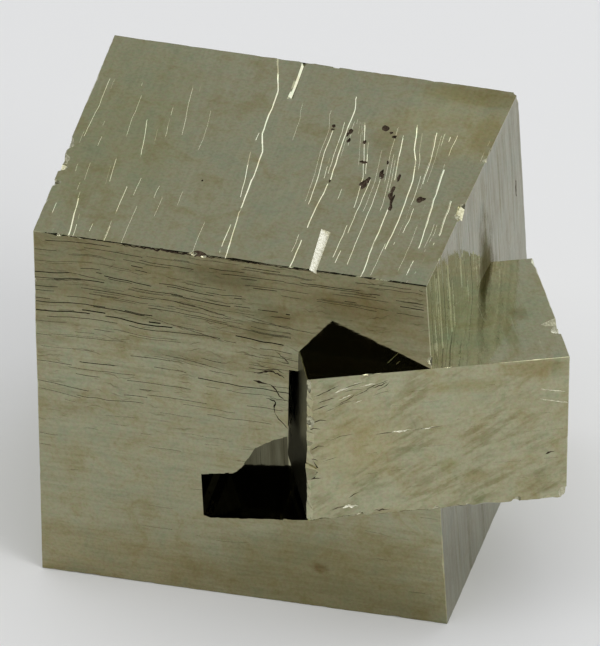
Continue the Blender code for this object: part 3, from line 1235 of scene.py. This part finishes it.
class PYRITE_OT_large_crystal(bpy.types.Operator):
    """Builds the large crystal: striated faces, stepped hollow, crevice, chips and pits"""

    bl_idname = "pyrite.large_crystal"
    bl_label = "Large crystal"

    def execute(self, context):
        settings = context.scene.pyrite_crystals
        rng = np.random.default_rng(LARGE_SEED)
        metal = tuple(settings.metal)
        coarse = settings.row_spacing * 2
        faces = {
            TOP: large_top(rng),
            FRONT: large_front(rng),
            RIGHT: plain_face(rng, LARGE, RIGHT, coarse, (0.3, 14, 0.05), 0.32, 0.005 * MM),
            LEFT: plain_face(rng, LARGE, LEFT, coarse, (0.9, 9, 0.06), 0.7),
            BACK: plain_face(rng, LARGE, BACK, coarse, (0.8, 6, 0.06), 0.7),
            BOTTOM: plain_face(rng, LARGE, BOTTOM, coarse, (1.2, 6, 0.05), 0.5),
        }
        wear = block_wear(LARGE, rng, settings.wear, 14, 0.12 * MM)
        wear[1, 1, 1] = edge_wear(rng, 0.4 * settings.wear, length_along(LARGE, 1), 5, 0.12 * MM)
        looks = {FRONT: 1, RIGHT: 2, TOP: 3}
        mesh = crystal_mesh("large_crystal_faces", LARGE, faces, wear, rng, looks)
        plain = growth_face_pyrite("large_crystal_growth", metal, settings.roughness, 0.4)
        top = growth_face_pyrite(
            "large_crystal_top", metal, settings.roughness, 0.25, face=TOP, stains=TOP_STAINS,
            low_angle_stain=CORNER_STAIN,
        )
        dimmer = tuple(0.80 * channel for channel in metal)
        # Its dashes are a painted reflection of the dark room in the front face's upper step risers.
        front = growth_face_pyrite(
            "large_crystal_front", dimmer, settings.roughness, 0.5, dashes=0.7,
            browned=(27.0, 38.0), stains=FRONT_STAINS,
        )
        greyer = tuple(share * channel for share, channel in zip((0.67, 0.675, 0.72), metal))
        right = growth_face_pyrite(
            "large_crystal_right", greyer, settings.roughness, 1.5, face=RIGHT,
            stains=RIGHT_STAINS, low_angle=(0.93, 0.93, 0.92), dulled=0.95,
        )
        # Painted shade: dark metal in the hollow and the crevice stands in for their shade, and the
        # lighter slab's metal is a painted highlight.
        dark = shade_painted_pyrite("large_crystal_hollow", metal, 0.29)
        highlight_slab = shade_painted_pyrite("large_crystal_streak", metal, 0.75)
        dim = shade_painted_pyrite("large_crystal_crevice", metal, 0.2)
        broken = broken_pyrite("large_crystal_broken", metal, 0.15)
        bruised = broken_pyrite("large_crystal_bruise", metal, 1.0)
        rust = rusty_pit("large_crystal_rust")
        piece = new_piece("large_crystal_faces", mesh, (plain, front, right, top))
        cutters = new_cutters("large_crystal_cutters")
        cut_socket(plain, cutters)
        cut_hollow(rng, dark, highlight_slab, cutters)
        cut_crevice(dim, cutters)
        cut_top_marks(rng, rust, bruised, cutters)
        cut_grooves("front_crack", LARGE, FRONT, FRONT_CRACKS, rng, rust, cutters)
        cut_grooves("right_crack", LARGE, RIGHT, RIGHT_CRACKS, rng, rust, cutters)
        cut_edge_chips("large_chip", LARGE, LARGE_CHIPS, rng, broken, cutters)
        cut_and_finish(piece, cutters)
        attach(piece, "root")
        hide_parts("large_crystal")
        return {"FINISHED"}


# ---------------------------------------------------------------- the small crystal

# The seed of the small crystal's random places.
SMALL_SEED = 23

# Chips on the small crystal's edges: three fractions of its block, and a size in millimetres.
SMALL_CHIPS = (
    (1.0, 0.0, 0.0, 1.6), (1.0, 0.35, 1.0, 1.6), (1.0, 0.31, 1.0, 1.2), (0.0, 0.0, 0.93, 0.8),
    (0.0, 0.0, 0.7, 0.7), (0.0, 0.0, 0.45, 0.6), (0.0, 0.0, 0.3, 0.7), (0.2, 0.0, 0.0, 0.6),
    (0.33, 0.0, 0.0, 0.6), (0.5, 0.0, 0.0, 0.7), (0.62, 0.0, 0.0, 0.6), (0.8, 0.0, 0.0, 0.7),
)

# Fractures on the small crystal's front face: width, depth and path, in millimetres up and from
# the left.
SMALL_BRIGHT_CRACKS = (
    (0.22, 0.14, ((14.2, 2.6), (14.5, 3.4), (14.7, 4.2))),
    (0.16, 0.12, ((14.6, 5.0), (14.75, 5.9), (14.8, 6.6))),
    (0.2, 0.12, ((9.2, 8.0), (9.25, 8.9), (9.3, 9.9))),
    (0.14, 0.1, ((9.3, 11.0), (9.3, 11.6), (9.4, 12.3))),
    (0.3, 0.16, ((1.2, 3.4), (1.3, 4.1), (1.2, 4.9))),
    (0.16, 0.12, ((13.3, 3.0), (13.7, 3.8), (13.8, 4.3))),
    (0.12, 0.1, ((15.0, 4.4), (15.1, 5.2))),
    (0.14, 0.1, ((12.9, 4.6), (13.1, 5.2))),
    (0.08, 0.08, ((12.6, 22.3), (12.3, 23.6), (12.05, 24.75))),
    (0.08, 0.08, ((11.5, 22.3), (11.1, 23.7), (10.8, 25.0))),
)
SMALL_DARK_CRACKS = (
    (0.12, 0.14, ((13.9, 0.6), (14.2, 1.4), (14.6, 2.2), (14.9, 3.0))),
    (0.16, 0.14, ((14.4, 6.2), (14.55, 7.0), (14.9, 7.6))),
    (0.1, 0.1, ((14.2, 3.6), (14.35, 4.4), (14.3, 5.2))),
    (0.07, 0.08, ((13.4, 6.0), (13.8, 7.2), (13.9, 8.4))),
    (0.07, 0.08, ((12.6, 2.6), (13.0, 3.6), (13.2, 4.8))),
    (0.12, 0.14, ((10.2, 0.0), (10.5, 0.7), (10.3, 1.2))),
    (0.12, 0.14, ((6.9, 0.0), (7.0, 0.6), (6.7, 1.0))),
    (0.12, 0.14, ((4.6, 0.0), (4.8, 0.7), (4.7, 1.3))),
    (0.06, 0.08, ((8.9, 2.2), (9.3, 3.2), (9.4, 4.4))),
    (0.12, 0.16, ((14.3, 5.6), (14.7, 6.6), (15.0, 7.7))),
    (0.1, 0.12, ((14.0, 6.6), (14.4, 7.4), (14.9, 7.9))),
    (0.08, 0.1, ((9.1, 6.5), (9.2, 7.4), (9.2, 8.2))),
    (0.1, 0.12, ((13.2, 1.0), (13.5, 1.9), (13.6, 2.6))),
    (0.09, 0.1, ((12.9, 3.0), (13.3, 3.9), (13.9, 4.6))),
    (0.08, 0.1, ((12.2, 1.8), (12.5, 2.6))),
    (0.1, 0.12, ((11.0, 0.4), (11.3, 1.2), (11.2, 1.8))),
    (0.08, 0.1, ((14.6, 3.4), (14.9, 4.6), (15.1, 5.4))),
    (0.09, 0.1, ((13.6, 4.4), (14.0, 5.4), (14.4, 6.0))),
    (0.1, 0.12, ((8.0, 0.3), (8.4, 1.0), (8.3, 1.6))),
    (0.05, 0.06, ((6.5, 1.2), (6.8, 2.2), (7.0, 3.0))),
    (0.07, 0.08, ((9.2, 9.8), (9.3, 11.0), (9.4, 13.2))),
    (0.14, 0.16, ((1.0, 2.4), (1.25, 3.0), (1.3, 3.6))),
    (0.12, 0.14, ((2.2, 4.0), (2.6, 4.6), (2.8, 5.1))),
    (0.1, 0.12, ((12.4, 0.5), (12.7, 1.3), (12.9, 2.0))),
    (0.14, 0.14, ((0.5, 6.4), (0.55, 7.2), (0.5, 8.0))),
    (0.22, 0.12, ((5.1, 23.0), (5.3, 23.4), (5.4, 23.8))),
)

# Stains on the small crystal, like those on the large one.
SMALL_TOP_STAINS = (
    ((12.0, 9.0), (12.0, 9.0), (0.83, 0.91, 0.83)),
    ((21.8, 8.4), (1.1, 1.4), (0.78, 0.72, 0.62)),
    ((20.4, 4.6), (0.7, 3.4), (0.84, 0.82, 0.70)),
)
SMALL_FRONT_STAINS = (
    ((3.4, 16.2), (1.0, 1.4), (0.82, 0.77, 0.66)),
    ((2.1, 22.4), (1.3, 1.9), (0.84, 0.81, 0.72)),
    ((13.7, 15.5), (0.9, 3.4), (0.86, 0.83, 0.72)),
    ((5.0, 13.6), (0.9, 1.2), (0.86, 0.86, 0.75)),
    ((15.0, 22.0), (1.2, 4.0), (0.82, 0.76, 0.64)),
    ((8.0, 5.0), (5.0, 5.0), (0.98, 0.94, 0.86)),
)


class PYRITE_OT_small_crystal(bpy.types.Operator):
    """Builds the small crystal: finely striated faces with ragged edges and chips"""

    bl_idname = "pyrite.small_crystal"
    bl_label = "Small crystal"

    def execute(self, context):
        settings = context.scene.pyrite_crystals
        rng = np.random.default_rng(SMALL_SEED)
        metal = tuple(settings.metal)
        rows = settings.row_spacing
        faces = {
            which: plain_face(rng, SMALL, which, rows, (0.9, 2.5, 0.024), 0.35, 0.004 * MM)
            for which in product(range(3), (0, 1))
        }
        faces[FRONT] = plain_face(rng, SMALL, FRONT, rows, (1.5, 1.2, 0.02), 0.35)
        wear = block_wear(SMALL, rng, settings.wear, 10, 0.15 * MM)
        wear[2, 0, 0] = edge_wear(rng, 2 * settings.wear, length_along(SMALL, 2), 40, 0.45 * MM)
        wear[0, 0, 0] = edge_wear(rng, 1.2 * settings.wear, length_along(SMALL, 0), 26, 0.2 * MM)
        wear[0, 0, 1] = edge_wear(rng, 0.4 * settings.wear, length_along(SMALL, 0), 9, 0.15 * MM)
        looks = {FRONT: 1, TOP: 2, LEFT: 3}
        mesh = crystal_mesh("small_crystal_faces", SMALL, faces, wear, rng, looks)
        brighter = tuple(1.08 * channel for channel in metal)
        growth = growth_face_pyrite("small_crystal_growth", brighter, settings.roughness, 0.4)
        top = growth_face_pyrite(
            "small_crystal_top", brighter, settings.roughness, 0.3, face=TOP, stains=SMALL_TOP_STAINS
        )
        filmed = tuple(0.9 * channel for channel in metal)
        front = growth_face_pyrite(
            "small_crystal_front", filmed, settings.roughness, 0.3, slant=math.radians(28),
            stains=SMALL_FRONT_STAINS,
        )
        # Painted shade: the small crystal's left face, beside the hollow, is dark metal standing in for
        # its shade, and darker still below a height.
        beside_hollow = [float(at(SMALL, 0, 0, share)[2]) for share in (0.36, 0.48)]
        painted_shade_side = shade_painted_pyrite("small_crystal_sheltered", metal, 0.27, 0.3, beside_hollow)
        broken = broken_pyrite("small_crystal_broken", metal, 0.15)
        bruised = broken_pyrite("small_crystal_bruise", metal, 1.0)
        rust = rusty_pit("small_crystal_rust")
        piece = new_piece("small_crystal_faces", mesh, (growth, front, top, painted_shade_side))
        cutters = new_cutters("small_crystal_cutters")
        cut_edge_chips("small_chip", SMALL, SMALL_CHIPS, rng, broken, cutters)
        cut_grooves("bright_crack", SMALL, FRONT, SMALL_BRIGHT_CRACKS, rng, bruised, cutters)
        cut_grooves("dark_crack", SMALL, FRONT, SMALL_DARK_CRACKS, rng, rust, cutters)
        cut_and_finish(piece, cutters)
        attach(piece, "root")
        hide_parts("small_crystal")
        return {"FINISHED"}


# ---------------------------------------------------------------- stage


def add_panel(name, corners, colour, roughness):
    mesh = bpy.data.meshes.new(name)
    mesh.from_pydata(corners, [], [(0, 1, 2, 3)])
    panel = bpy.data.objects.new(name, mesh)
    bpy.context.scene.collection.objects.link(panel)
    material, nodes, shader = new_material(name)
    nodes.feed_all(
        shader, Base_Color=(*colour, 1), Roughness=roughness, Specular_IOR_Level=0.1
    )
    mesh.materials.append(material)
    return panel


def add_floor(settings):
    """A square sheet of pale paper under the specimen."""
    half = 1.5
    corners = [(-half, -half, 0), (half, -half, 0), (half, half, 0), (-half, half, 0)]
    add_panel("floor", corners, settings.floor_colour, 0.9)


def add_dark_side():
    """The unlit side of the room, behind the camera: a black panel that only the faces mirror."""
    left, right, near, low, high = -0.75, 0.3, -0.95, 0.0, 1.5
    corners = [(left, near, low), (right, near, low), (right, near, high), (left, near, high)]
    panel = add_panel("dark_side", corners, (0.03, 0.028, 0.023), 1.0)
    panel.visible_camera = panel.visible_diffuse = panel.visible_shadow = False


# The soft lights, each with its place, its length and width, and for the window what its length
# follows and its colour.
LIGHTS = {
    "overhead": ((0.0, -0.04, 1.1), (1.8, 1.1)),
    "back": ((0.25, 0.97, 0.46), (0.3, 0.3)),
    "side": ((0.9, -0.35, 0.6), (0.5, 0.5)),
    "window": ((0.53, 0.915, 0.29), (0.46, 0.58), (0.69, 0, -0.73), (0.80, 0.84, 1.0)),
}


def add_soft_light(name, place, size, power, lengthwise=(1, 0, 0), colour=(1, 1, 1)):
    """An area light that faces the specimen from a place. Its size is its length and its width,
    and its length follows a direction."""
    data = bpy.data.lights.new(name, "AREA")
    data.shape = "RECTANGLE"
    data.size, data.size_y = size
    data.energy = power
    data.color = colour
    light = bpy.data.objects.new(name, data)
    back = Vector(place).normalized()
    length = Vector(lengthwise)
    length = (length - back * length.dot(back)).normalized()
    light.matrix_world = Matrix((length, back.cross(length), back)).transposed().to_4x4()
    light.location = place
    bpy.context.scene.collection.objects.link(light)


ROOM_COLOUR = (0.97, 0.99, 1.0, 1)


def add_room(settings):
    """A pale room that the faces mirror, and that lights the paper more weakly."""
    world = bpy.data.worlds.new("pale_room")
    bpy.context.scene.world = world
    world.use_nodes = True
    nodes = Nodes(world.node_tree)
    background = world.node_tree.nodes["Background"]
    diffuse = nodes.add("ShaderNodeLightPath").outputs["Is Diffuse Ray"]
    strength = nodes.ramp(diffuse, 0.0, 1.0, settings.room_strength, settings.room_fill)
    nodes.feed_all(background, Color=ROOM_COLOUR, Strength=strength)


# The point that the camera looks at, right of the middle of the large crystal's foot and above it
# in the picture.
LOOK_RIGHT = 1.4 * MM
LOOK_UP = 17.0 * MM
SENSOR_WIDTH = 36.0
LENS_LENGTH = 334.4


def add_camera(settings):
    """A long lens that looks at the middle of the specimen from above on the right."""
    azimuth, elevation, roll = settings.view_azimuth, settings.view_elevation, settings.view_roll
    level = math.cos(elevation)
    back = Vector((math.sin(azimuth) * level, -math.cos(azimuth) * level, math.sin(elevation)))
    right = Vector((math.cos(azimuth), math.sin(azimuth), 0))
    up = back.cross(right)
    turn = Matrix.Rotation(roll, 3, back)
    right, up = turn @ right, turn @ up
    foot = Vector(LARGE[:, :, 0].reshape(4, 3).mean(axis=0))
    target = foot + right * LOOK_RIGHT + up * LOOK_UP
    place = Matrix((right, up, back)).transposed().to_4x4()
    place.translation = target + back * settings.view_distance
    data = bpy.data.cameras.new("camera")
    data.sensor_width = SENSOR_WIDTH
    data.lens = LENS_LENGTH
    data.clip_start = 0.01
    camera = bpy.data.objects.new("camera", data)
    camera.matrix_world = place
    bpy.context.scene.collection.objects.link(camera)
    bpy.context.scene.camera = camera


class PYRITE_OT_stage(bpy.types.Operator):
    """Adds the pale floor, the soft lights and the camera"""

    bl_idname = "pyrite.stage"
    bl_label = "Stage"

    def execute(self, context):
        settings = context.scene.pyrite_stage
        context.scene.view_settings.view_transform = "Standard"
        add_room(settings)
        add_floor(settings)
        add_dark_side()
        for name, (place, size, *rest) in LIGHTS.items():
            add_soft_light(name, place, size, getattr(settings, f"{name}_power"), *rest)
        add_camera(settings)
        return {"FINISHED"}


class PYRITE_PT_specimen(bpy.types.Panel):
    bl_label = "Pyrite specimen"
    bl_space_type = "VIEW_3D"
    bl_region_type = "UI"
    bl_category = "Pyrite"

    def draw(self, context):
        for group in (context.scene.pyrite_crystals, context.scene.pyrite_stage):
            column = self.layout.column()
            for name in group.bl_rna.properties.keys():
                if name not in ("rna_type", "name"):
                    column.prop(group, name)
        for operator in OPERATORS:
            self.layout.operator(operator.bl_idname)


OPERATORS = (PYRITE_OT_large_crystal, PYRITE_OT_small_crystal, PYRITE_OT_stage)
CLASSES = (CrystalSettings, StageSettings, *OPERATORS, PYRITE_PT_specimen)


def register():
    for cls in CLASSES:
        bpy.utils.register_class(cls)
    bpy.types.Scene.pyrite_crystals = PointerProperty(type=CrystalSettings)
    bpy.types.Scene.pyrite_stage = PointerProperty(type=StageSettings)


def unregister():
    del bpy.types.Scene.pyrite_stage
    del bpy.types.Scene.pyrite_crystals
    for cls in reversed(CLASSES):
        bpy.utils.unregister_class(cls)


def main():
    register()
    bpy.ops.pyrite.large_crystal()
    bpy.ops.pyrite.small_crystal()
    bpy.ops.pyrite.stage()


if __name__ == "__main__":
    main()
